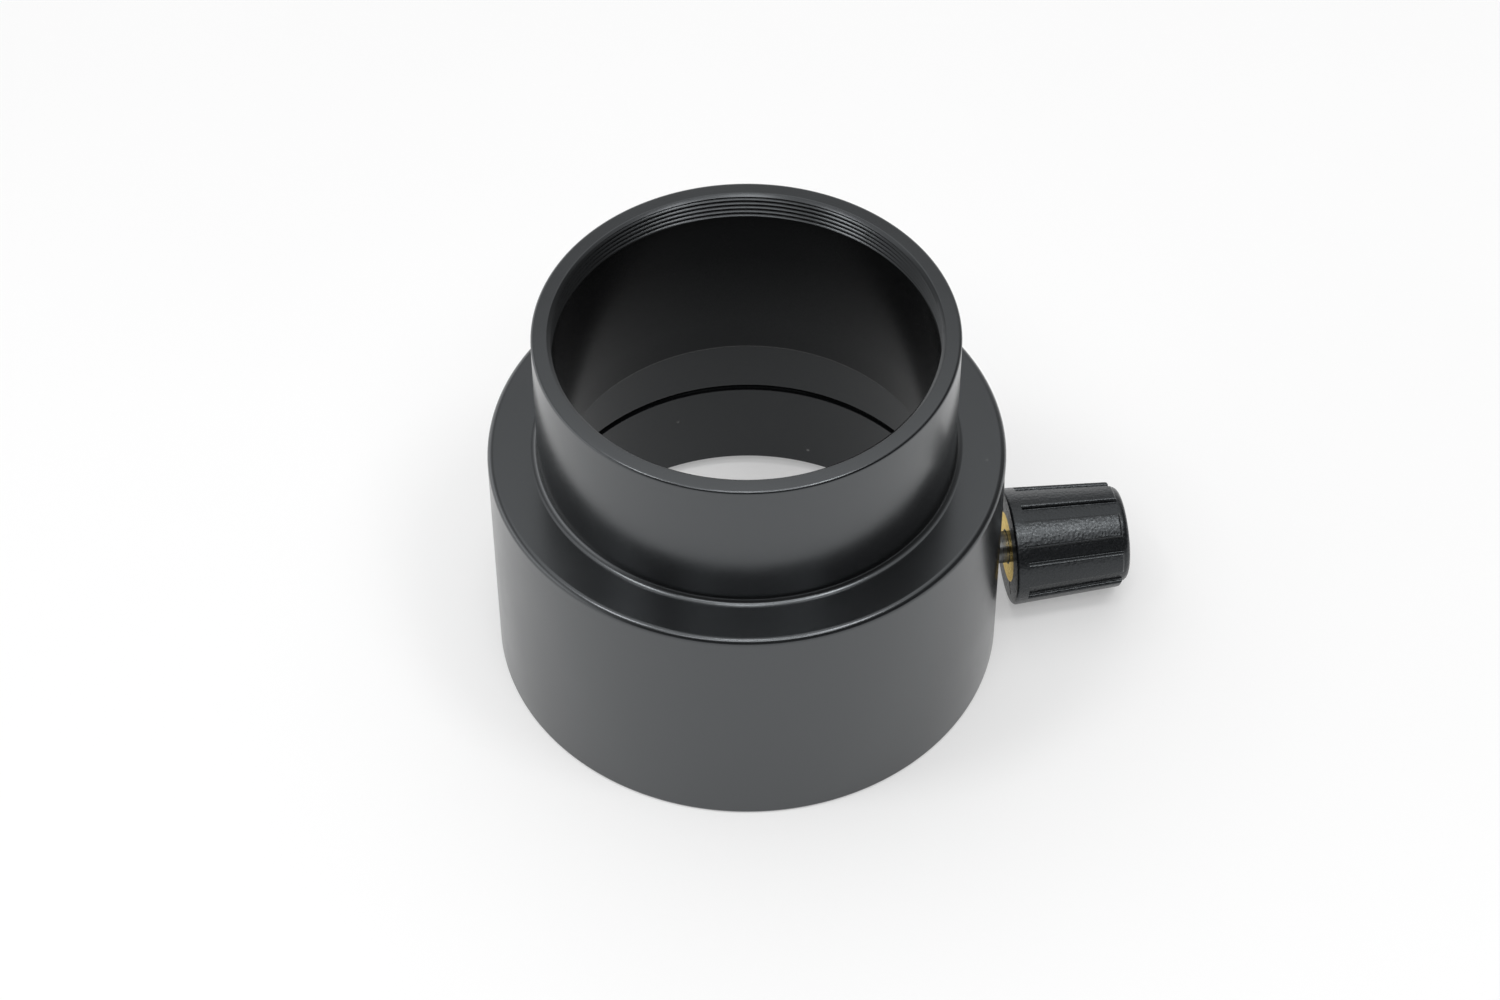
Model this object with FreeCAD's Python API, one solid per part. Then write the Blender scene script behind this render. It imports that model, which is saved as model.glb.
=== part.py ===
import FreeCAD, Part
import math
import os

# Digiscoping adapter: a turned tube that slips over a telescope's eyepiece, is held there by
# one clamp screw, and takes a camera lens in the filter thread at its mouth.
# Millimetres. The origin is on the bore's axis at the open lower end, +Z runs towards the
# camera, and +X runs out along the clamp screw.

# Adapter tube, outside. The walls are counted from the eyepiece bore and the thread's root.
body_wall = 6.2
body_height = 36.4
neck_wall = 2.2
neck_height = 21.4
base_edge_chamfer = 0.3
shoulder_edge_chamfer = 0.4
neck_root_bevel = 0.4
rim_edge_chamfer = 0.25

# Adapter tube, inside
thread_major_diameter = 52.0
thread_pitch = 0.75
thread_length = 3.75
mouth_chamfer = 0.6
thread_relief = 0.15
neck_bore_edge_chamfer = 0.25
eyepiece_bore_diameter = 57.6
eyepiece_bore_depth = 27.4
lead_in_chamfer = 2.0
groove_height = 16.6
groove_width = 1.0
groove_depth = 0.6

# Clamp screw
screw_diameter = 5.0
screw_pitch = 0.8
screw_running_clearance = 0.04
screw_height = 8.4
screw_hole_countersink = 0.6
shank_length = 1.6
stud_end_chamfer = 0.4
knob_stand_off = 2.0
tip_setback = 0.1

# Pressure tip
tip_head_diameter = 3.8
tip_head_length = 1.2
tip_head_chamfer = 0.3
tip_spigot_diameter = 2.0
tip_spigot_length = 2.4
tip_clearance = 0.05

# Moulded knob
knob_length = 16.5
knob_inner_diameter = 16.6
knob_outer_diameter = 14.7
knob_collar_length = 1.7
knob_inner_edge_chamfer = 0.35
land_count = 8
recess_width = 2.3
recess_depth = 0.65
land_edge_bevel = 0.2
land_root = 0.4
land_end_setback = 1.1
knob_end_rounding = 0.9
recess_turn = 8.5
slit_count = 2
slit_turn = -40.0
slit_length = 1.9
slit_width = 0.4
slit_depth = 1.2

# Brass insert in the knob
insert_diameter = 10.0
insert_length = 10.0
insert_groove_width = 1.6
insert_groove_depth = 0.8
stud_seat_depth = 7.5

# Radii and heights that follow from the sizes above
total_height = body_height + neck_height
thread_major_radius = thread_major_diameter / 2
thread_depth_ratio = 5 * math.sqrt(3) / 16
thread_minor_radius = thread_major_radius - thread_depth_ratio * thread_pitch
thread_foot = total_height - thread_length
neck_bore_radius = thread_major_radius + thread_relief
neck_radius = thread_major_radius + neck_wall
eyepiece_bore_radius = eyepiece_bore_diameter / 2
body_radius = eyepiece_bore_radius + body_wall
stud_radius = screw_diameter / 2
screw_hole_radius = stud_radius + screw_running_clearance
shank_thread_ratio = 3 * math.sqrt(3) / 16
shank_radius = stud_radius - shank_thread_ratio * screw_pitch
insert_radius = insert_diameter / 2

# Places along the clamp screw's axis, counted from the bore's axis
knob_face = body_radius + knob_stand_off
knob_end = knob_face + knob_length
tip_face = eyepiece_bore_radius + tip_setback
stud_tip = tip_face + tip_head_length + tip_clearance
thread_start = knob_face - shank_length
stud_seat = knob_face + stud_seat_depth
insert_end = knob_face + insert_length
land_end = knob_end - land_end_setback
collar_end = knob_face + knob_collar_length

ORIGIN = FreeCAD.Vector(0, 0, 0)
SCREW_AXIS_POINT = FreeCAD.Vector(0, 0, screw_height)
ALONG_X = FreeCAD.Vector(1, 0, 0)
ALONG_Z = FreeCAD.Vector(0, 0, 1)


def turned(points, axis_point, axis):
    """A solid turned about an axis from the corners of its section."""
    return Part.Face(Part.makePolygon(points + points[:1])).revolve(axis_point, axis, 360)


def turned_about_z(corners):
    """A solid turned about the bore's axis from (radius, height) corners."""
    points = [FreeCAD.Vector(r, 0, z) for r, z in corners]
    return turned(points, ORIGIN, ALONG_Z)


def turned_about_screw(corners):
    """A solid turned about the clamp screw's axis from (place, radius) corners."""
    points = [FreeCAD.Vector(x, 0, screw_height + r) for x, r in corners]
    return turned(points, SCREW_AXIS_POINT, ALONG_X)


def make_adapter_tube():
    """One turned piece: stepped tube with filter thread bore, eyepiece bore and tapped clamp hole."""
    mouth_radius = thread_minor_radius + mouth_chamfer
    groove_foot = groove_height - groove_width / 2
    groove_top = groove_height + groove_width / 2
    groove_radius = eyepiece_bore_radius + groove_depth
    tube = turned_about_z([
        (body_radius - base_edge_chamfer, 0),
        (body_radius, base_edge_chamfer),
        (body_radius, body_height - shoulder_edge_chamfer),
        (body_radius - shoulder_edge_chamfer, body_height),
        (neck_radius + neck_root_bevel, body_height),
        (neck_radius, body_height + neck_root_bevel),
        (neck_radius, total_height - rim_edge_chamfer),
        (neck_radius - rim_edge_chamfer, total_height),
        (mouth_radius, total_height),
        (thread_minor_radius, total_height - mouth_chamfer),
        (thread_minor_radius, thread_foot),
        (neck_bore_radius, thread_foot),
        (neck_bore_radius, eyepiece_bore_depth + neck_bore_edge_chamfer),
        (neck_bore_radius + neck_bore_edge_chamfer, eyepiece_bore_depth),
        (eyepiece_bore_radius, eyepiece_bore_depth),
        (eyepiece_bore_radius, groove_top),
        (groove_radius, groove_top),
        (groove_radius, groove_foot),
        (eyepiece_bore_radius, groove_foot),
        (eyepiece_bore_radius, lead_in_chamfer),
        (eyepiece_bore_radius + lead_in_chamfer, 0),
    ])
    mouth = screw_hole_radius + screw_hole_countersink
    hole = turned_about_screw([
        (0, 0),
        (0, screw_hole_radius),
        (body_radius - screw_hole_countersink, screw_hole_radius),
        (body_radius, mouth),
        (knob_face, mouth),
        (knob_face, 0),
    ])
    return tube.cut(hole)


def make_clamp_stud():
    """Steel stud: threaded end with a socket for the tip, plain rolled shank, end held in the insert."""
    run_out = stud_radius - shank_radius
    socket_radius = tip_spigot_diameter / 2 + tip_clearance
    socket_end = stud_tip + tip_spigot_length
    return turned_about_screw([
        (socket_end, 0),
        (socket_end, socket_radius),
        (stud_tip, socket_radius),
        (stud_tip, stud_radius - stud_end_chamfer),
        (stud_tip + stud_end_chamfer, stud_radius),
        (thread_start - run_out, stud_radius),
        (thread_start, shank_radius),
        (knob_face, shank_radius),
        (knob_face, stud_radius),
        (stud_seat, stud_radius),
        (stud_seat, 0),
    ])


def make_pressure_tip():
    """Soft tip that bears on the eyepiece and stays still while the stud turns behind it."""
    head_radius = tip_head_diameter / 2
    head_back = tip_face + tip_head_length
    spigot_end = stud_tip + tip_spigot_length - tip_clearance
    return turned_about_screw([
        (tip_face, 0),
        (tip_face, head_radius - tip_head_chamfer),
        (tip_face + tip_head_chamfer, head_radius),
        (head_back, head_radius),
        (head_back, tip_spigot_diameter / 2),
        (spigot_end, tip_spigot_diameter / 2),
        (spigot_end, 0),
    ])


def make_knob_insert():
    """Brass bush moulded into the knob, with a groove that the plastic grips."""
    groove_start = knob_face + (insert_length - insert_groove_width) / 2
    groove_end = groove_start + insert_groove_width
    groove_floor = insert_radius - insert_groove_depth
    return turned_about_screw([
        (knob_face, stud_radius),
        (knob_face, insert_radius),
        (groove_start, insert_radius),
        (groove_start, groove_floor),
        (groove_end, groove_floor),
        (groove_end, insert_radius),
        (insert_end, insert_radius),
        (insert_end, 0),
        (stud_seat, 0),
        (stud_seat, stud_radius),
    ])


def land_radius(x):
    """The tapered radius of the knob's lands at a place along the screw."""
    share = (x - knob_face) / knob_length
    return (knob_inner_diameter + share * (knob_outer_diameter - knob_inner_diameter)) / 2


def land_section(x, radius, wall_offset):
    """The outline across one land, with its outer edges bevelled and its root sunk in the core.

    The land is centred on +Z. Each side wall is parallel to the middle of the recess beside it
    and lies wall_offset from it.
    """
    half_step = math.pi / land_count
    crown_offset = wall_offset + land_edge_bevel
    crown_reach = math.sqrt(radius ** 2 - crown_offset ** 2)
    shoulder_reach = math.sqrt((radius - land_edge_bevel) ** 2 - wall_offset ** 2)
    foot_reach = radius - recess_depth - land_root

    def place(side, reach, offset):
        across = side * (reach * math.sin(half_step) - offset * math.cos(half_step))
        up = reach * math.cos(half_step) + offset * math.sin(half_step)
        return FreeCAD.Vector(x, across, screw_height + up)

    def flank(side):
        return [
            place(side, foot_reach, wall_offset),
            place(side, shoulder_reach, wall_offset),
            place(side, crown_reach, crown_offset),
        ]

    left = flank(1)
    right = flank(-1)
    top = FreeCAD.Vector(x, 0, screw_height + radius)
    return Part.Wire([
        Part.LineSegment(left[0], left[1]).toShape(),
        Part.LineSegment(left[1], left[2]).toShape(),
        Part.Arc(left[2], top, right[2]).toShape(),
        Part.LineSegment(right[2], right[1]).toShape(),
        Part.LineSegment(right[1], right[0]).toShape(),
        Part.LineSegment(right[0], left[0]).toShape(),
    ])


def make_land():
    """One tapered land from the collar to its bevelled end."""
    wall_offset = recess_width / 2
    bevel_start = land_end - land_edge_bevel
    return Part.makeLoft(
        [
            land_section(collar_end, land_radius(collar_end), wall_offset),
            land_section(bevel_start, land_radius(bevel_start), wall_offset),
            land_section(
                land_end,
                land_radius(land_end) - land_edge_bevel,
                wall_offset + land_edge_bevel,
            ),
        ],
        True,
        True,
    )


def around_screw(shape, angle):
    """A copy of a shape turned about the clamp screw's axis, from +Z towards -Y."""
    copy = shape.copy()
    copy.rotate(SCREW_AXIS_POINT, ALONG_X, angle)
    return copy


def make_clamp_knob(insert):
    """Tapered plastic knob: wide lands between recesses that run out at the free end."""
    core = turned_about_screw([
        (knob_face, 0),
        (knob_face, land_radius(knob_face) - recess_depth),
        (knob_end, land_radius(knob_end) - recess_depth),
        (knob_end, 0),
    ])
    end_edges = [edge for edge in core.Edges if abs(edge.CenterOfMass.x - knob_end) < 1e-6]
    core = core.makeFillet(knob_end_rounding, end_edges)
    collar = turned_about_screw([
        (knob_face, 0),
        (knob_face, land_radius(knob_face) - knob_inner_edge_chamfer),
        (knob_face + knob_inner_edge_chamfer, land_radius(knob_face + knob_inner_edge_chamfer)),
        (collar_end, land_radius(collar_end)),
        (collar_end, 0),
    ])
    slit_reach = insert_radius + slit_length
    slit = Part.makeBox(
        slit_depth,
        slit_width,
        slit_reach,
        FreeCAD.Vector(knob_face, -slit_width / 2, screw_height - slit_reach),
    )
    land_step = 360 / land_count
    slit_step = 360 / slit_count
    land = make_land()
    lands = [around_screw(land, i * land_step) for i in range(land_count)]
    slits = [around_screw(slit, slit_turn + i * slit_step) for i in range(slit_count)]
    blank = core.fuse([collar] + lands).removeSplitter()
    knob = around_screw(blank, recess_turn + land_step / 2)
    insert_pocket = insert.fuse(make_clamp_stud()).removeSplitter()
    return knob.cut([insert_pocket] + slits)


def write_part(name, shape):
    """Write one closed solid to its own file."""
    solids = shape.Solids
    assert len(solids) == 1 and solids[0].isValid(), name
    solids[0].exportStep(os.path.join("parts", name + ".step"))
    print(name, "volume", round(solids[0].Volume, 2))


os.makedirs("parts", exist_ok=True)
knob_insert = make_knob_insert()
write_part("adapter_tube", make_adapter_tube())
write_part("clamp_stud", make_clamp_stud())
write_part("pressure_tip", make_pressure_tip())
write_part("knob_insert", knob_insert)
write_part("clamp_knob", make_clamp_knob(knob_insert))
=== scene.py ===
import math

import bmesh
import bpy
from mathutils import Matrix, Quaternion, Vector


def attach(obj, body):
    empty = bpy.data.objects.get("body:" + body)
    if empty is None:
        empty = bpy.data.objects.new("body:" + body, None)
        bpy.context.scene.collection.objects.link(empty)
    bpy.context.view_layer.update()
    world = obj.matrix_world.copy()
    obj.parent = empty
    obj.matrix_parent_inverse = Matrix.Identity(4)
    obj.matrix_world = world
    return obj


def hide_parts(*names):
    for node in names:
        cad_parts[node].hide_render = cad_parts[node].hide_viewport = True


# Looks of the digiscoping adapter: turned black tube, threaded stud, brass bush, ribbed knob.
# The scene is in metres. The bore's axis is Z, and the clamp screw's axis runs along X.

MM = 0.001
AROUND_TUBE = 256
AROUND_KNOB = 128
AROUND_STUD = 64

# Sizes are in millimetres, and turns in degrees, where no other unit is named.

# Turned tube, from the base up
BODY_RADIUS = 34.98
BODY_TOP_Z = 36.4
BASE_EDGE_RADIUS = 34.7
BASE_EDGE_Z = 0.3
NECK_RADIUS = 28.2
NECK_BORE_RADIUS = 26.15
EYEPIECE_RADIUS = 28.8
EYEPIECE_STOP_Z = 27.4
GROOVE_RADIUS = 29.4
GROOVE_FOOT_Z = 16.1
GROOVE_TOP_Z = 17.1
LEAD_IN_RADIUS = 30.8
LEAD_IN_Z = 2.0

# Filter thread at the mouth
MOUTH_Z = 57.8
RIM_FALL = 0.07
MOUTH_EDGE_Z = 57.5
MOUTH_EDGE_RADIUS = 26.1
THREAD_FOOT_Z = 53.75
FILTER_PITCH = 0.75
FILTER_START_Z = 54.05
FILTER_CREST = 25.594
FILTER_ROOT = 26.0
FILTER_CUT_INSIDE = 25.2
FILTER_CUT_TURNS = 7
CREST_EASE = 0.06
CREST_CLEAR = 0.02

# Clamp screw
SCREW_HEIGHT = 8.4
SCREW_HOLE_RADIUS = 2.54
SCREW_HOLE_MOUTH = 3.14
COUNTERSINK_X = 34.4
HOLE_CUT_START_X = 20
HOLE_CUT_END_X = 36
STUD_PITCH = 0.8
STUD_CREST = 2.5
STUD_ROOT = 2.05
STUD_CUT_OUTSIDE = 2.8
STUD_CUT_TURNS = 7
STUD_TIP_X = 30.15
STUD_TIP_RADIUS = 2.1
STUD_LEAD_X = 30.55
TIP_HOLE_END_X = 32.55
TIP_HOLE_RADIUS = 1.05
THREAD_FADE_X = 35.14
THREAD_END_X = 35.4
SHANK_RADIUS = 2.24
STUD_SEAT_X = 44.5

# Moulded knob and the brass bush in it
BUSH_RADIUS = 5.0
BUSH_END_X = 47.0
BUSH_GROOVE_RADIUS = 4.2
BUSH_GROOVE_START_X = 41.2
BUSH_GROOVE_END_X = 42.8
KNOB_FACE_X = 37.0
KNOB_END_X = 53.5
COLLAR_END_X = 38.7
LAND_END_X = 52.4
KNOB_INNER_RADIUS = 8.3
KNOB_OUTER_RADIUS = 7.35
RECESS_DEPTH = 0.65
RECESS_HALF_WIDTH = 1.1
RECESS_FOOT = 0.15
RECESS_LIFT = 0.01
LAND_ROLL = 0.38
LAND_COUNT = 8
FIRST_RECESS_TURN = 8.5
SLIT_COUNT = 2
SLIT_TURN = -40.0
SLIT_MIDDLE_RADIUS = 5.7
SLIT_SIZE = (2.2, 0.4, 2.4)

# Dust on the tube: place, size, and how pale
DUST_SPECKS = [
    ((12.85, 25.77, 4.7), 0.34, 1.0),
    ((-5.84, 28.2, 11.2), 0.32, 0.5),
    ((31.35, -8.1, 36.4), 0.32, 0.16),
]

# Sheen of the anodised tube, and the shares of it left high in the neck bore and in the thread
OUTER_SHEEN = 0.5
EYEPIECE_BORE_SHEEN = 0.235
NECK_BORE_SHEEN = 0.105
NECK_TOP_SHARE = 0.48
THREAD_SHARE = 0.6

# Greys of the tent, from the floor's level up to the zenith
TENT_GREYS = [
    (0.0, 1.5),
    (0.35, 1.0),
    (0.6, 0.42),
    (0.7, 0.4),
    (0.78, 1.25),
    (0.86, 1.15),
    (1.0, 1.1),
]

# Share of plain white in the floor where it is seen
FLOOR_WHITE = 0.33

# Soft boxes: name, place and size in metres, and watts
LAMP_TARGET = (0, 0, 0.03)
SOFT_BOXES = [
    ("front_top", (-0.05, -0.54, 0.88), (0.84, 0.22), 2.3),
    ("front_high", (-0.04, -0.22, 1.02), (0.2, 0.2), 0.9),
    ("front_right", (0.31, -0.25, 0.91), (0.2, 0.2), 1.3),
    ("front_left", (-0.48, -0.08, 0.88), (0.2, 0.2), 1.2),
]

# Camera: place in millimetres, direction, roll in degrees and lens
CAMERA_PLACE = (-50.34, -339.52, 411.59)
CAMERA_LOOK = (0.0981, 0.6563, -0.7481)
CAMERA_ROLL = -0.189
CAMERA_LENS = 90.55

MERGE_DISTANCE = 1e-7
RING_REACH = 0.01
SMOOTH_ANGLE = math.radians(32)


def screw_place(x, radius):
    """A point above the screw's axis, in metres."""
    return Vector((x * MM, 0, (SCREW_HEIGHT + radius) * MM))


def tube_place(radius, z):
    """A point at the knob's side of the tube's section, in metres."""
    return Vector((radius * MM, 0, z * MM))


def deselect_all():
    if bpy.context.object and bpy.context.object.mode != "OBJECT":
        bpy.ops.object.mode_set(mode="OBJECT")
    bpy.ops.object.select_all(action="DESELECT")


def draw_section(name, corners):
    """A closed wire through the corners of a section, left open in edit mode."""
    deselect_all()
    bpy.ops.mesh.primitive_plane_add(size=MM, location=(0, 0, 0))
    piece = bpy.context.object
    piece.name = name
    piece.data.name = name
    bpy.ops.object.mode_set(mode="EDIT")
    bpy.ops.mesh.select_mode(type="VERT")
    bpy.ops.mesh.select_all(action="SELECT")
    bpy.ops.mesh.merge(type="CENTER")
    bpy.ops.transform.translate(value=corners[0])
    for start, end in zip(corners, corners[1:] + corners[:1]):
        bpy.ops.mesh.extrude_region_move(TRANSFORM_OT_translate={"value": end - start})
    bpy.ops.mesh.select_all(action="SELECT")
    bpy.ops.mesh.remove_doubles(threshold=MERGE_DISTANCE)
    return piece


def close_mesh():
    """Merge the seam and the poles, and turn all faces outwards."""
    bpy.ops.mesh.select_all(action="SELECT")
    bpy.ops.mesh.remove_doubles(threshold=MERGE_DISTANCE)
    bpy.ops.mesh.dissolve_degenerate(threshold=MERGE_DISTANCE)
    bpy.ops.mesh.select_all(action="SELECT")
    bpy.ops.mesh.delete_loose(use_verts=True, use_edges=True, use_faces=False)
    bpy.ops.mesh.select_all(action="SELECT")
    bpy.ops.mesh.normals_make_consistent(inside=False)


def turn_section(steps, centre, axis):
    """Turn the drawn section once round an axis."""
    bpy.ops.mesh.select_all(action="SELECT")
    bpy.ops.mesh.spin(steps=steps, angle=math.tau, center=centre, axis=axis, use_auto_merge=False)
    close_mesh()


def select_edges(piece, wanted):
    """Select just the edges for which wanted(first point, second point) is true, in millimetres."""
    bpy.ops.mesh.select_mode(type="EDGE")
    bpy.ops.mesh.select_all(action="DESELECT")
    mesh = bmesh.from_edit_mesh(piece.data)
    for edge in mesh.edges:
        first, second = (vertex.co / MM for vertex in edge.verts)
        if wanted(first, second):
            edge.select_set(True)
    bmesh.update_edit_mesh(piece.data)


def round_edges(offset, segments):
    bpy.ops.mesh.bevel(
        offset_type="OFFSET",
        offset=offset * MM,
        segments=segments,
        profile=0.5,
        affect="EDGES",
        clamp_overlap=True,
    )


def round_tube_ring(piece, radius, z, rounding, segments):
    """Round the edge that runs round the tube at one radius and height."""

    def on_ring(point):
        out = math.hypot(point.x, point.y)
        return abs(out - radius) < RING_REACH and abs(point.z - z) < RING_REACH

    select_edges(piece, lambda a, b: on_ring(a) and on_ring(b))
    round_edges(rounding, segments)


def round_screw_ring(piece, x, radius, rounding, segments):
    """Round the edge that runs round the screw's axis at one place and radius."""

    def on_ring(point):
        out = math.hypot(point.y, point.z - SCREW_HEIGHT)
        return abs(out - radius) < RING_REACH and abs(point.x - x) < RING_REACH

    select_edges(piece, lambda a, b: on_ring(a) and on_ring(b))
    round_edges(rounding, segments)


def cut_out(piece, shape):
    """Cut a closed shape out of a piece, and drop the shape."""
    deselect_all()
    bpy.context.view_layer.objects.active = piece
    piece.select_set(True)
    cut = piece.modifiers.new("cut", "BOOLEAN")
    cut.operation = "DIFFERENCE"
    cut.solver = "MANIFOLD"
    cut.object = shape
    bpy.ops.object.modifier_apply(modifier=cut.name)
    deselect_all()
    shape.select_set(True)
    bpy.ops.object.delete()


def sweep_thread(name, profile, axis, origin, pitch, turns, steps):
    """A closed helical bar with the given profile, to cut a right-hand thread with."""
    bar = draw_section(name, profile)
    bpy.ops.object.mode_set(mode="OBJECT")
    bar.location = origin
    screw = bar.modifiers.new("helix", "SCREW")
    screw.axis = axis
    screw.angle = math.tau
    screw.screw_offset = pitch * MM
    screw.iterations = turns
    screw.steps = steps
    screw.render_steps = steps
    screw.use_merge_vertices = False
    bpy.ops.object.modifier_apply(modifier=screw.name)
    bpy.ops.object.transform_apply(location=True, rotation=True, scale=True)
    bpy.ops.object.mode_set(mode="EDIT")
    bpy.ops.mesh.select_all(action="SELECT")
    bpy.ops.mesh.remove_doubles(threshold=MERGE_DISTANCE)
    bpy.ops.mesh.select_all(action="DESELECT")
    bpy.ops.mesh.select_mode(type="VERT")
    bpy.ops.mesh.select_non_manifold()
    bpy.ops.mesh.fill_holes(sides=0)
    close_mesh()
    bpy.ops.object.mode_set(mode="OBJECT")
    return bar


def finish_piece(piece, material, body, node):
    """Clean the mesh, smooth it up to its edges, give it its material, tie it to its body, and hide
    the CAD node it stands for.
    """
    deselect_all()
    bpy.context.view_layer.objects.active = piece
    piece.select_set(True)
    bpy.ops.object.mode_set(mode="EDIT")
    bpy.ops.mesh.select_all(action="SELECT")
    bpy.ops.mesh.remove_doubles(threshold=MERGE_DISTANCE)
    bpy.ops.mesh.select_all(action="SELECT")
    bpy.ops.mesh.normals_make_consistent(inside=False)
    bpy.ops.object.mode_set(mode="OBJECT")
    bpy.ops.object.shade_smooth_by_angle(angle=SMOOTH_ANGLE)
    flat_faces = piece.modifiers.new("flat_faces", "WEIGHTED_NORMAL")
    flat_faces.keep_sharp = True
    flat_faces.weight = 100
    bpy.ops.object.modifier_apply(modifier=flat_faces.name)
    piece.data.materials.clear()
    piece.data.materials.append(material)
    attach(piece, body)
    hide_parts(node)


def make_turned_tube():
    """The stepped tube with its rounded edges, filter thread and countersunk screw hole."""
    tube = draw_section("turned_tube", [
        tube_place(BASE_EDGE_RADIUS, 0),
        tube_place(BODY_RADIUS, BASE_EDGE_Z),
        tube_place(BODY_RADIUS, BODY_TOP_Z),
        tube_place(NECK_RADIUS, BODY_TOP_Z),
        tube_place(NECK_RADIUS, MOUTH_Z - RIM_FALL),
        tube_place(MOUTH_EDGE_RADIUS, MOUTH_Z),
        tube_place(FILTER_CREST, MOUTH_EDGE_Z),
        tube_place(FILTER_CREST, THREAD_FOOT_Z),
        tube_place(NECK_BORE_RADIUS, THREAD_FOOT_Z),
        tube_place(NECK_BORE_RADIUS, EYEPIECE_STOP_Z),
        tube_place(EYEPIECE_RADIUS, EYEPIECE_STOP_Z),
        tube_place(EYEPIECE_RADIUS, GROOVE_TOP_Z),
        tube_place(GROOVE_RADIUS, GROOVE_TOP_Z),
        tube_place(GROOVE_RADIUS, GROOVE_FOOT_Z),
        tube_place(EYEPIECE_RADIUS, GROOVE_FOOT_Z),
        tube_place(EYEPIECE_RADIUS, LEAD_IN_Z),
        tube_place(LEAD_IN_RADIUS, 0),
    ])
    turn_section(AROUND_TUBE, (0, 0, 0), (0, 0, 1))
    roundings = [
        (BODY_RADIUS, BODY_TOP_Z, 0.9, 8),
        (NECK_RADIUS, BODY_TOP_Z, 1.0, 8),
        (NECK_RADIUS, MOUTH_Z - RIM_FALL, 0.45, 6),
        (MOUTH_EDGE_RADIUS, MOUTH_Z, 0.08, 2),
        (NECK_BORE_RADIUS, EYEPIECE_STOP_Z, 0.7, 6),
        (EYEPIECE_RADIUS, GROOVE_TOP_Z, 0.12, 2),
        (EYEPIECE_RADIUS, GROOVE_FOOT_Z, 0.12, 2),
        (BODY_RADIUS, BASE_EDGE_Z, 0.12, 2),
    ]
    for radius, z, rounding, segments in roundings:
        round_tube_ring(tube, radius, z, rounding, segments)
    bpy.ops.object.mode_set(mode="OBJECT")

    half_mouth = 3 * FILTER_PITCH / 8
    half_root = FILTER_PITCH / 16
    eased_mouth = half_mouth + CREST_EASE * (1 - math.tan(math.radians(30)))
    filter_thread = sweep_thread(
        "filter_thread_cut",
        [
            tube_place(FILTER_CUT_INSIDE, -eased_mouth - CREST_CLEAR),
            tube_place(FILTER_CREST - CREST_CLEAR, -eased_mouth - CREST_CLEAR),
            tube_place(FILTER_CREST + CREST_EASE, CREST_EASE - eased_mouth),
            tube_place(FILTER_ROOT, -half_root),
            tube_place(FILTER_ROOT, half_root),
            tube_place(FILTER_CREST + CREST_EASE, eased_mouth - CREST_EASE),
            tube_place(FILTER_CREST - CREST_CLEAR, eased_mouth + CREST_CLEAR),
            tube_place(FILTER_CUT_INSIDE, eased_mouth + CREST_CLEAR),
        ],
        "Z",
        (0, 0, (FILTER_START_Z - FILTER_PITCH) * MM),
        FILTER_PITCH,
        FILTER_CUT_TURNS,
        AROUND_TUBE,
    )
    cut_out(tube, filter_thread)

    hole = draw_section("screw_hole_cut", [
        screw_place(HOLE_CUT_START_X, 0),
        screw_place(HOLE_CUT_START_X, SCREW_HOLE_RADIUS),
        screw_place(COUNTERSINK_X, SCREW_HOLE_RADIUS),
        screw_place(BODY_RADIUS, SCREW_HOLE_MOUTH),
        screw_place(HOLE_CUT_END_X, SCREW_HOLE_MOUTH),
        screw_place(HOLE_CUT_END_X, 0),
    ])
    turn_section(AROUND_STUD, screw_place(0, 0), (1, 0, 0))
    bpy.ops.object.mode_set(mode="OBJECT")
    cut_out(tube, hole)
    return tube


def make_threaded_stud():
    """The clamp screw's stud: rolled thread, plain shank, and the end held in the brass bush."""
    stud = draw_section("threaded_stud", [
        screw_place(TIP_HOLE_END_X, 0),
        screw_place(TIP_HOLE_END_X, TIP_HOLE_RADIUS),
        screw_place(STUD_TIP_X, TIP_HOLE_RADIUS),
        screw_place(STUD_TIP_X, STUD_TIP_RADIUS),
        screw_place(STUD_LEAD_X, STUD_CREST),
        screw_place(THREAD_FADE_X, STUD_CREST),
        screw_place(THREAD_END_X, SHANK_RADIUS),
        screw_place(KNOB_FACE_X, SHANK_RADIUS),
        screw_place(KNOB_FACE_X, STUD_CREST),
        screw_place(STUD_SEAT_X, STUD_CREST),
        screw_place(STUD_SEAT_X, 0),
    ])
    turn_section(AROUND_STUD, screw_place(0, 0), (1, 0, 0))
    bpy.ops.object.mode_set(mode="OBJECT")

    half_mouth = 7 * STUD_PITCH / 16
    half_root = STUD_PITCH / 8
    stud_thread = sweep_thread(
        "stud_thread_cut",
        [
            Vector((-half_mouth, 0, STUD_CUT_OUTSIDE)) * MM,
            Vector((-half_mouth, 0, STUD_CREST)) * MM,
            Vector((-half_root, 0, STUD_ROOT)) * MM,
            Vector((half_root, 0, STUD_ROOT)) * MM,
            Vector((half_mouth, 0, STUD_CREST)) * MM,
            Vector((half_mouth, 0, STUD_CUT_OUTSIDE)) * MM,
        ],
        "X",
        ((STUD_TIP_X - STUD_PITCH) * MM, 0, SCREW_HEIGHT * MM),
        STUD_PITCH,
        STUD_CUT_TURNS,
        AROUND_STUD,
    )
    cut_out(stud, stud_thread)
    return stud


def knob_radius(x):
    """The tapered radius of the knob's lands at a place along the screw."""
    share = (x - KNOB_FACE_X) / (KNOB_END_X - KNOB_FACE_X)
    return KNOB_INNER_RADIUS + share * (KNOB_OUTER_RADIUS - KNOB_INNER_RADIUS)


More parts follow.
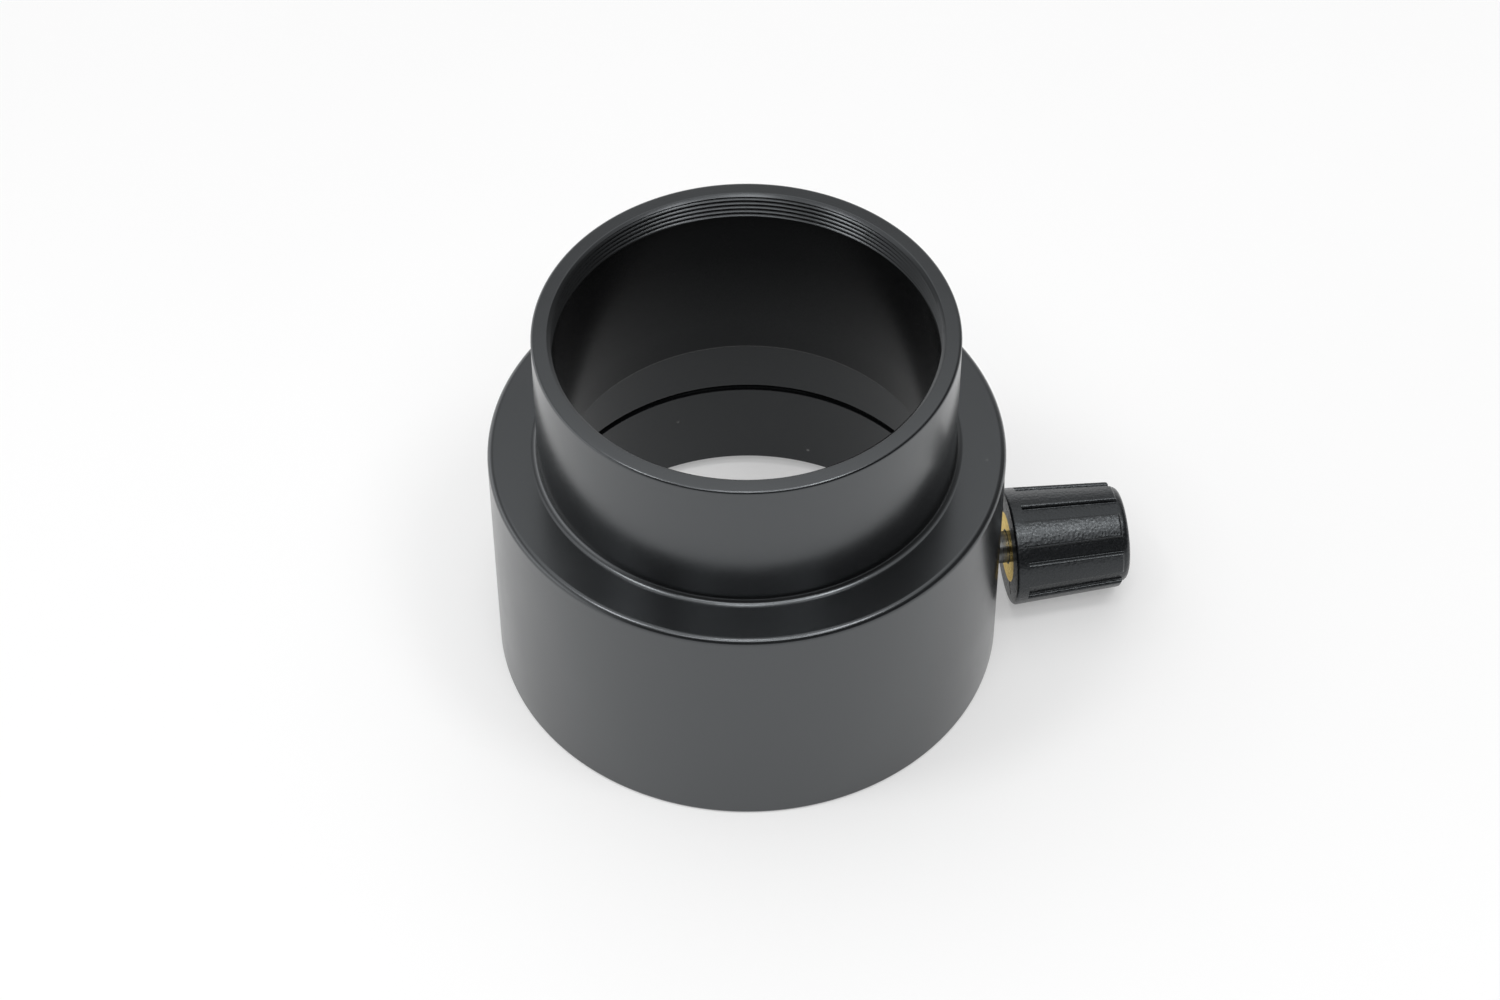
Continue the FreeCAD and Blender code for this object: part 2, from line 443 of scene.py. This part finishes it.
def around_screw(angle):
    """A turn about the screw's axis, from +Z towards -Y, in degrees."""
    axis_point = screw_place(0, 0)
    return (
        Matrix.Translation(axis_point)
        @ Matrix.Rotation(math.radians(angle), 4, "X")
        @ Matrix.Translation(-axis_point)
    )


def recess_section():
    """Corners across one recess at the collar, as (across, up) from the screw's axis.

    The floor follows the knob's core. The walls are parallel, with a small radius at their feet,
    and they roll over into the lands.
    """
    land = knob_radius(COLLAR_END_X)
    floor = land - RECESS_DEPTH
    roll_across = RECESS_HALF_WIDTH + LAND_ROLL
    roll_up = math.sqrt((land - LAND_ROLL) ** 2 - roll_across ** 2)
    lean = math.atan2(roll_across, roll_up)
    foot_across = RECESS_HALF_WIDTH - RECESS_FOOT
    foot_up = math.sqrt(floor ** 2 - foot_across ** 2) + RECESS_FOOT
    corners = []
    for i in range(5):
        across = foot_across * i / 4
        corners.append((across, math.sqrt(floor ** 2 - across ** 2)))
    for i in range(1, 5):
        turn = math.pi / 2 * i / 4
        across = foot_across + RECESS_FOOT * math.sin(turn)
        corners.append((across, foot_up - RECESS_FOOT * math.cos(turn)))
    for i in range(6):
        turn = -math.pi / 2 + (math.pi / 2 + lean) * i / 5
        across = roll_across + LAND_ROLL * math.sin(turn)
        corners.append((across, roll_up + LAND_ROLL * math.cos(turn)))
    corners.append((corners[-1][0], land + 1))
    return [(-across, up) for across, up in reversed(corners[1:])] + corners


def make_recess_cut():
    """The shape of one recess, from the collar to past the lands' ends."""
    recess = draw_section("recess_cut", [
        Vector((COLLAR_END_X, across, SCREW_HEIGHT + up)) * MM for across, up in recess_section()
    ])
    bpy.ops.mesh.edge_face_add()
    length = LAND_END_X + 0.2 - COLLAR_END_X
    fall = knob_radius(COLLAR_END_X + length) - knob_radius(COLLAR_END_X)
    bpy.ops.mesh.extrude_region_move(
        TRANSFORM_OT_translate={"value": Vector((length, 0, fall + RECESS_LIFT)) * MM}
    )
    close_mesh()
    bpy.ops.object.mode_set(mode="OBJECT")
    return recess


def make_slit_cut():
    """The shape of one narrow slit that runs out from the brass bush in the knob's face."""
    deselect_all()
    middle = screw_place(KNOB_FACE_X + 0.1, -SLIT_MIDDLE_RADIUS)
    bpy.ops.mesh.primitive_cube_add(size=MM, location=middle)
    slit = bpy.context.object
    slit.name = "slit_cut"
    bpy.ops.transform.resize(value=SLIT_SIZE)
    bpy.ops.object.transform_apply(location=True, rotation=True, scale=True)
    return slit


def repeat_around_screw(cut, first_turn, count):
    """Copies of one cut at even turns about the screw's axis, as a single object."""
    deselect_all()
    copies = []
    for i in range(1, count):
        copy = cut.copy()
        copy.data = cut.data.copy()
        bpy.context.scene.collection.objects.link(copy)
        copy.data.transform(around_screw(first_turn + i * 360 / count))
        copies.append(copy)
    cut.data.transform(around_screw(first_turn))
    for piece in copies + [cut]:
        piece.select_set(True)
    bpy.context.view_layer.objects.active = cut
    bpy.ops.object.join()
    return cut


def make_grip_knob():
    """The moulded knob: a tapered blank with a collar, eight recesses and two slits."""
    core_end = knob_radius(KNOB_END_X) - RECESS_DEPTH
    land_end = knob_radius(LAND_END_X)
    knob = draw_section("grip_knob", [
        screw_place(KNOB_FACE_X, BUSH_RADIUS),
        screw_place(KNOB_FACE_X, KNOB_INNER_RADIUS),
        screw_place(LAND_END_X, land_end),
        screw_place(LAND_END_X, land_end - RECESS_DEPTH),
        screw_place(KNOB_END_X, core_end),
        screw_place(KNOB_END_X, 0),
        screw_place(BUSH_END_X, 0),
        screw_place(BUSH_END_X, BUSH_RADIUS),
        screw_place(BUSH_GROOVE_END_X, BUSH_RADIUS),
        screw_place(BUSH_GROOVE_END_X, BUSH_GROOVE_RADIUS),
        screw_place(BUSH_GROOVE_START_X, BUSH_GROOVE_RADIUS),
        screw_place(BUSH_GROOVE_START_X, BUSH_RADIUS),
    ])
    turn_section(AROUND_KNOB, screw_place(0, 0), (1, 0, 0))
    round_screw_ring(knob, KNOB_FACE_X, KNOB_INNER_RADIUS, 0.4, 4)
    round_screw_ring(knob, LAND_END_X, land_end, LAND_ROLL, 4)
    round_screw_ring(knob, KNOB_END_X, core_end, 0.9, 6)
    bpy.ops.object.mode_set(mode="OBJECT")
    recesses = repeat_around_screw(make_recess_cut(), FIRST_RECESS_TURN, LAND_COUNT)
    cut_out(knob, recesses)
    slits = repeat_around_screw(make_slit_cut(), SLIT_TURN, SLIT_COUNT)
    cut_out(knob, slits)
    return knob


def new_finish(name):
    """A material with its node tree and its shader, linked to the output."""
    material = bpy.data.materials.new(name)
    material.use_nodes = True
    tree = material.node_tree
    tree.nodes.clear()
    output = tree.nodes.new("ShaderNodeOutputMaterial")
    shader = tree.nodes.new("ShaderNodeBsdfPrincipled")
    tree.links.new(shader.outputs["BSDF"], output.inputs["Surface"])
    return material, tree, shader


def add_node(tree, kind, settings=None, values=None, links=None):
    """A node with its settings, its fixed input values and the outputs that feed its inputs."""
    node = tree.nodes.new(kind)
    for key, value in (settings or {}).items():
        setattr(node, key, value)
    for key, value in (values or {}).items():
        node.inputs[key].default_value = value
    for key, output in (links or {}).items():
        tree.links.new(output, node.inputs[key])
    return node


def object_place(tree):
    """The place on the piece, in metres."""
    return add_node(tree, "ShaderNodeTexCoord").outputs["Object"]


def math_node(tree, operation, first, second):
    node = add_node(tree, "ShaderNodeMath", {"operation": operation})
    for index, value in enumerate((first, second)):
        if isinstance(value, (int, float)):
            node.inputs[index].default_value = value
        else:
            tree.links.new(value, node.inputs[index])
    return node.outputs["Value"]


def noise(tree, place, size, detail=2.0, roughness=0.5):
    """Noise whose grains are about the given size in millimetres, from 0 to 1."""
    node = add_node(
        tree,
        "ShaderNodeTexNoise",
        {"noise_dimensions": "3D"},
        {"Scale": 1 / (size * MM), "Detail": detail, "Roughness": roughness},
        {"Vector": place},
    )
    return node.outputs["Fac"]


def spread(tree, value, low, high, to_low, to_high):
    """A value from one range carried over to another, and held at its ends."""
    node = add_node(
        tree,
        "ShaderNodeMapRange",
        {"clamp": True},
        {"From Min": low, "From Max": high, "To Min": to_low, "To Max": to_high},
        {"Value": value},
    )
    return node.outputs["Result"]


def shades(tree, value, stops):
    """Colours along a value, from (place, colour) stops."""
    node = add_node(tree, "ShaderNodeValToRGB", links={"Fac": value})
    ramp = node.color_ramp
    while len(ramp.elements) < len(stops):
        ramp.elements.new(0.5)
    for element, (place, colour) in zip(ramp.elements, stops):
        element.position = place
        element.color = (*colour, 1)
    return node.outputs["Color"]


def relief(tree, shader, heights):
    """Stack bumps from (height, depth in millimetres, strength) rows on the shader's normal."""
    normal = None
    for height, depth, strength in heights:
        links = {"Height": height}
        if normal:
            links["Normal"] = normal
        values = {"Strength": strength, "Distance": depth * MM}
        bump = add_node(tree, "ShaderNodeBump", None, values, links)
        normal = bump.outputs["Normal"]
    tree.links.new(normal, shader.inputs["Normal"])


def lathe_place(tree, place, axis):
    """The distance from a lathe axis and the place along it, in metres."""
    parts = add_node(tree, "ShaderNodeSeparateXYZ", links={"Vector": place}).outputs
    if axis == "Z":
        across, up, along = parts["X"], parts["Y"], parts["Z"]
    else:
        across, along = parts["Y"], parts["X"]
        up = math_node(tree, "SUBTRACT", parts["Z"], SCREW_HEIGHT * MM)
    flat = add_node(tree, "ShaderNodeCombineXYZ", links={"X": across, "Y": up}).outputs["Vector"]
    radius = add_node(tree, "ShaderNodeVectorMath", {"operation": "LENGTH"}, links={0: flat})
    return radius.outputs["Value"], along


def tool_lines(tree, radius, along, size):
    """Fine lines left by the lathe."""
    turned = add_node(tree, "ShaderNodeCombineXYZ", links={"X": radius, "Y": along})
    return noise(tree, turned.outputs["Vector"], size, 1.0)


def dust(tree, place, specks):
    """How much dust lies at a place, from 0 to 1."""
    total = 0.0
    for centre, size, paleness in specks:
        gap = add_node(
            tree,
            "ShaderNodeVectorMath",
            {"operation": "DISTANCE"},
            {1: Vector(centre) * MM},
            {0: place},
        ).outputs["Value"]
        speck = spread(tree, gap, 0.3 * size * MM, size * MM, paleness, 0)
        total = math_node(tree, "ADD", speck, total)
    return total


def tube_sheen(tree, radius, height):
    """The tube's sheen: satin outside, duller in the thread, and matt in the bores."""
    thread_foot = (THREAD_FOOT_Z + 0.1) * MM
    # The limit lies past the groove low down, and inside the neck's wall higher up.
    bore_limit = spread(tree, height, 30 * MM, 32 * MM, 29.6 * MM, 27.2 * MM)
    in_bore = math_node(
        tree,
        "MULTIPLY",
        math_node(tree, "LESS_THAN", radius, bore_limit),
        math_node(tree, "LESS_THAN", height, thread_foot),
    )
    bore_sheen = math_node(
        tree,
        "MULTIPLY",
        spread(tree, height, 26.9 * MM, 27.7 * MM, EYEPIECE_BORE_SHEEN, NECK_BORE_SHEEN),
        spread(tree, height, 33 * MM, 46 * MM, 1, NECK_TOP_SHARE),
    )
    sheen = math_node(
        tree,
        "ADD",
        math_node(tree, "MULTIPLY", in_bore, bore_sheen),
        spread(tree, in_bore, 0, 1, OUTER_SHEEN, 0),
    )
    in_thread = math_node(
        tree,
        "MULTIPLY",
        math_node(tree, "LESS_THAN", radius, (MOUTH_EDGE_RADIUS - 0.03) * MM),
        math_node(tree, "GREATER_THAN", height, thread_foot),
    )
    return math_node(tree, "MULTIPLY", sheen, spread(tree, in_thread, 0, 1, 1, THREAD_SHARE))


def black_anodised():
    """Satin black anodised aluminium, with faint lathe lines, a fine grain and a little dust."""
    material, tree, shader = new_finish("black_anodised")
    place = object_place(tree)
    radius, height = lathe_place(tree, place, "Z")
    lines = tool_lines(tree, radius, height, 0.12)
    clouds = noise(tree, place, 7.0, 3.0)
    grain = noise(tree, place, 0.06, 2.0)
    colour = shades(tree, clouds, [
        (0.3, (0.0032, 0.0034, 0.0037)),
        (0.7, (0.0046, 0.0049, 0.0052)),
    ])
    dusted = add_node(
        tree,
        "ShaderNodeMix",
        {"data_type": "RGBA"},
        {"B": (0.2, 0.2, 0.195, 1)},
        {"Factor": dust(tree, place, DUST_SPECKS), "A": colour},
    )
    tree.links.new(dusted.outputs["Result"], shader.inputs["Base Color"])
    tree.links.new(spread(tree, clouds, 0.3, 0.7, 0.21, 0.25), shader.inputs["Roughness"])
    tree.links.new(tube_sheen(tree, radius, height), shader.inputs["Specular IOR Level"])
    shader.inputs["IOR"].default_value = 1.82
    shader.inputs["Specular Tint"].default_value = (0.94, 0.99, 1.03, 1.0)
    relief(tree, shader, [(lines, 0.004, 0.2), (grain, 0.003, 0.2)])
    return material


def black_plastic():
    """Black moulded plastic with a fine leathery grain."""
    material, tree, shader = new_finish("black_plastic")
    place = object_place(tree)
    pebbles = add_node(
        tree,
        "ShaderNodeTexVoronoi",
        {"feature": "SMOOTH_F1"},
        {"Scale": 1 / (0.42 * MM), "Smoothness": 0.5},
        {"Vector": place},
    ).outputs["Distance"]
    creases = noise(tree, place, 0.3, 1.0, 0.5)
    clouds = noise(tree, place, 4.0, 2.0)
    colour = shades(tree, clouds, [
        (0.3, (0.0045, 0.0049, 0.0058)),
        (0.7, (0.0062, 0.0067, 0.0078)),
    ])
    tree.links.new(colour, shader.inputs["Base Color"])
    tree.links.new(spread(tree, creases, 0.35, 0.65, 0.26, 0.36), shader.inputs["Roughness"])
    shader.inputs["IOR"].default_value = 1.55
    shader.inputs["Specular Tint"].default_value = (0.93, 0.99, 1.03, 1.0)
    relief(tree, shader, [(creases, 0.02, 0.5), (pebbles, 0.045, 0.7)])
    return material


def turned_metal(name, tone, dark, edge, roughness, size):
    """Turned metal with lathe lines about the screw's axis, as bright or as dark as its given
    tones.
    """
    material, tree, shader = new_finish(name)
    place = object_place(tree)
    lines = tool_lines(tree, *lathe_place(tree, place, "X"), size)
    clouds = noise(tree, place, 1.6, 3.0)
    colour = shades(tree, clouds, [(0.35, dark), (0.65, tone)])
    tree.links.new(colour, shader.inputs["Base Color"])
    grades = spread(tree, lines, 0.3, 0.7, roughness - 0.06, roughness + 0.08)
    tree.links.new(grades, shader.inputs["Roughness"])
    shader.inputs["Metallic"].default_value = 1.0
    shader.inputs["Specular Tint"].default_value = (*edge, 1.0)
    relief(tree, shader, [(lines, 0.01, 0.3)])
    return material


def white_nylon():
    """Off-white turned nylon, slightly see-through at its edges."""
    material, tree, shader = new_finish("white_nylon")
    place = object_place(tree)
    lines = tool_lines(tree, *lathe_place(tree, place, "X"), 0.15)
    clouds = noise(tree, place, 1.2, 2.0)
    colour = shades(tree, clouds, [(0.3, (0.72, 0.7, 0.63)), (0.7, (0.8, 0.79, 0.74))])
    tree.links.new(colour, shader.inputs["Base Color"])
    tree.links.new(spread(tree, lines, 0.3, 0.7, 0.42, 0.55), shader.inputs["Roughness"])
    shader.inputs["Subsurface Weight"].default_value = 0.2
    shader.inputs["Subsurface Radius"].default_value = (0.0008, 0.0007, 0.0005)
    shader.inputs["Subsurface Scale"].default_value = 1.0
    relief(tree, shader, [(lines, 0.01, 0.25)])
    return material


def white_paper():
    """The plain pale floor, with plain white mixed in where it is seen, to lighten its shadow."""
    material, tree, shader = new_finish("white_paper")
    output = tree.nodes["Material Output"]
    place = object_place(tree)
    clouds = noise(tree, place, 60.0, 3.0)
    colour = shades(tree, clouds, [(0.3, (0.915, 0.915, 0.915)), (0.7, (0.925, 0.925, 0.925))])
    tree.links.new(colour, shader.inputs["Base Color"])
    shader.inputs["Roughness"].default_value = 0.9
    shader.inputs["Specular IOR Level"].default_value = 0.1
    ray = add_node(tree, "ShaderNodeLightPath").outputs
    seen = math_node(tree, "MAXIMUM", ray["Is Camera Ray"], ray["Is Glossy Ray"])
    seen = math_node(tree, "MAXIMUM", seen, ray["Is Transmission Ray"])
    white = add_node(tree, "ShaderNodeEmission", None, {"Strength": 1.0})
    paper = add_node(
        tree,
        "ShaderNodeMixShader",
        links={
            0: math_node(tree, "MULTIPLY", seen, FLOOR_WHITE),
            1: shader.outputs["BSDF"],
            2: white.outputs["Emission"],
        },
    )
    tree.links.new(paper.outputs["Shader"], output.inputs["Surface"])
    return material


def make_floor():
    deselect_all()
    bpy.ops.mesh.primitive_plane_add(size=8, location=(0, 0, 0))
    floor = bpy.context.object
    floor.name = "floor"
    floor.data.materials.append(white_paper())


def make_surround():
    """A soft tent: pale at the back and the left, dim on the right, dark on the camera's side."""
    world = bpy.data.worlds.new("soft_tent")
    bpy.context.scene.world = world
    world.use_nodes = True
    tree = world.node_tree
    tree.nodes.clear()
    output = tree.nodes.new("ShaderNodeOutputWorld")
    direction = add_node(tree, "ShaderNodeTexCoord").outputs["Generated"]
    parts = add_node(tree, "ShaderNodeSeparateXYZ", links={"Vector": direction}).outputs
    rise = shades(tree, parts["Z"], [(height, (grey, grey, grey)) for height, grey in TENT_GREYS])
    front = spread(tree, parts["Y"], -0.6, -0.1, 0.1, 1.0)
    right = spread(tree, parts["X"], 0.3, 0.9, 1.0, 0.15)
    left = spread(tree, parts["X"], -0.95, -0.6, 1.4, 1.0)
    side = math_node(tree, "MULTIPLY", right, left)
    strength = math_node(tree, "MULTIPLY", front, side)
    level = add_node(tree, "ShaderNodeBackground", links={"Color": rise, "Strength": strength})
    tree.links.new(level.outputs["Background"], output.inputs["Surface"])


def make_soft_box(name, place, size, watts):
    """One soft lamp that faces the middle of the object."""
    lamp = bpy.data.lights.new(name, "AREA")
    lamp.shape = "RECTANGLE"
    lamp.size, lamp.size_y = size
    lamp.energy = watts
    soft_box = bpy.data.objects.new(name, lamp)
    bpy.context.scene.collection.objects.link(soft_box)
    soft_box.location = place
    soft_box.rotation_mode = "QUATERNION"
    soft_box.rotation_quaternion = (Vector(LAMP_TARGET) - Vector(place)).to_track_quat("-Z", "Y")


def make_camera():
    """The photograph's viewpoint."""
    camera_data = bpy.data.cameras.new("camera")
    camera_data.sensor_width = 36
    camera_data.lens = CAMERA_LENS
    camera_data.clip_start = 0.02
    camera = bpy.data.objects.new("camera", camera_data)
    bpy.context.scene.collection.objects.link(camera)
    camera.location = Vector(CAMERA_PLACE) * MM
    camera.rotation_mode = "QUATERNION"
    look = Vector(CAMERA_LOOK).to_track_quat("-Z", "Y")
    camera.rotation_quaternion = look @ Quaternion((0, 0, 1), math.radians(CAMERA_ROLL))
    bpy.context.scene.camera = camera


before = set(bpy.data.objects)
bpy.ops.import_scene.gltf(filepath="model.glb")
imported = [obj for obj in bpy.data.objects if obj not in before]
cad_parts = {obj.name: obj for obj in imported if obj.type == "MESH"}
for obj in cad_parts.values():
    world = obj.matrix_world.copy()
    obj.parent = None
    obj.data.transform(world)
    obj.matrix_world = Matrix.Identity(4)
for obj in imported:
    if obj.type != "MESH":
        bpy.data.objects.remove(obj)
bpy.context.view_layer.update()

finish_piece(make_turned_tube(), black_anodised(), "adapter", "adapter_tube")
# The steel's tones and edge tint are painted darker than plated steel. This is painted shade for
# the stud's place in the gap between the tube and the knob.
plated_steel = turned_metal(
    "plated_steel",
    tone=(0.18, 0.185, 0.185),
    dark=(0.12, 0.124, 0.126),
    edge=(0.45, 0.46, 0.46),
    roughness=0.3,
    size=0.1,
)
finish_piece(make_threaded_stud(), plated_steel, "thumbscrew", "clamp_stud")
finish_piece(make_grip_knob(), black_plastic(), "thumbscrew", "clamp_knob")
brass = turned_metal(
    "brass",
    tone=(0.98, 0.77, 0.3),
    dark=(0.9, 0.66, 0.22),
    edge=(1.0, 0.88, 0.55),
    roughness=0.2,
    size=0.12,
)
for node, finish in (("knob_insert", brass), ("pressure_tip", white_nylon())):
    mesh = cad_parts[node].data
    mesh.materials.clear()
    mesh.materials.append(finish)

make_floor()
make_surround()
for soft_box in SOFT_BOXES:
    make_soft_box(*soft_box)
make_camera()
bpy.context.scene.view_settings.view_transform = "Standard"
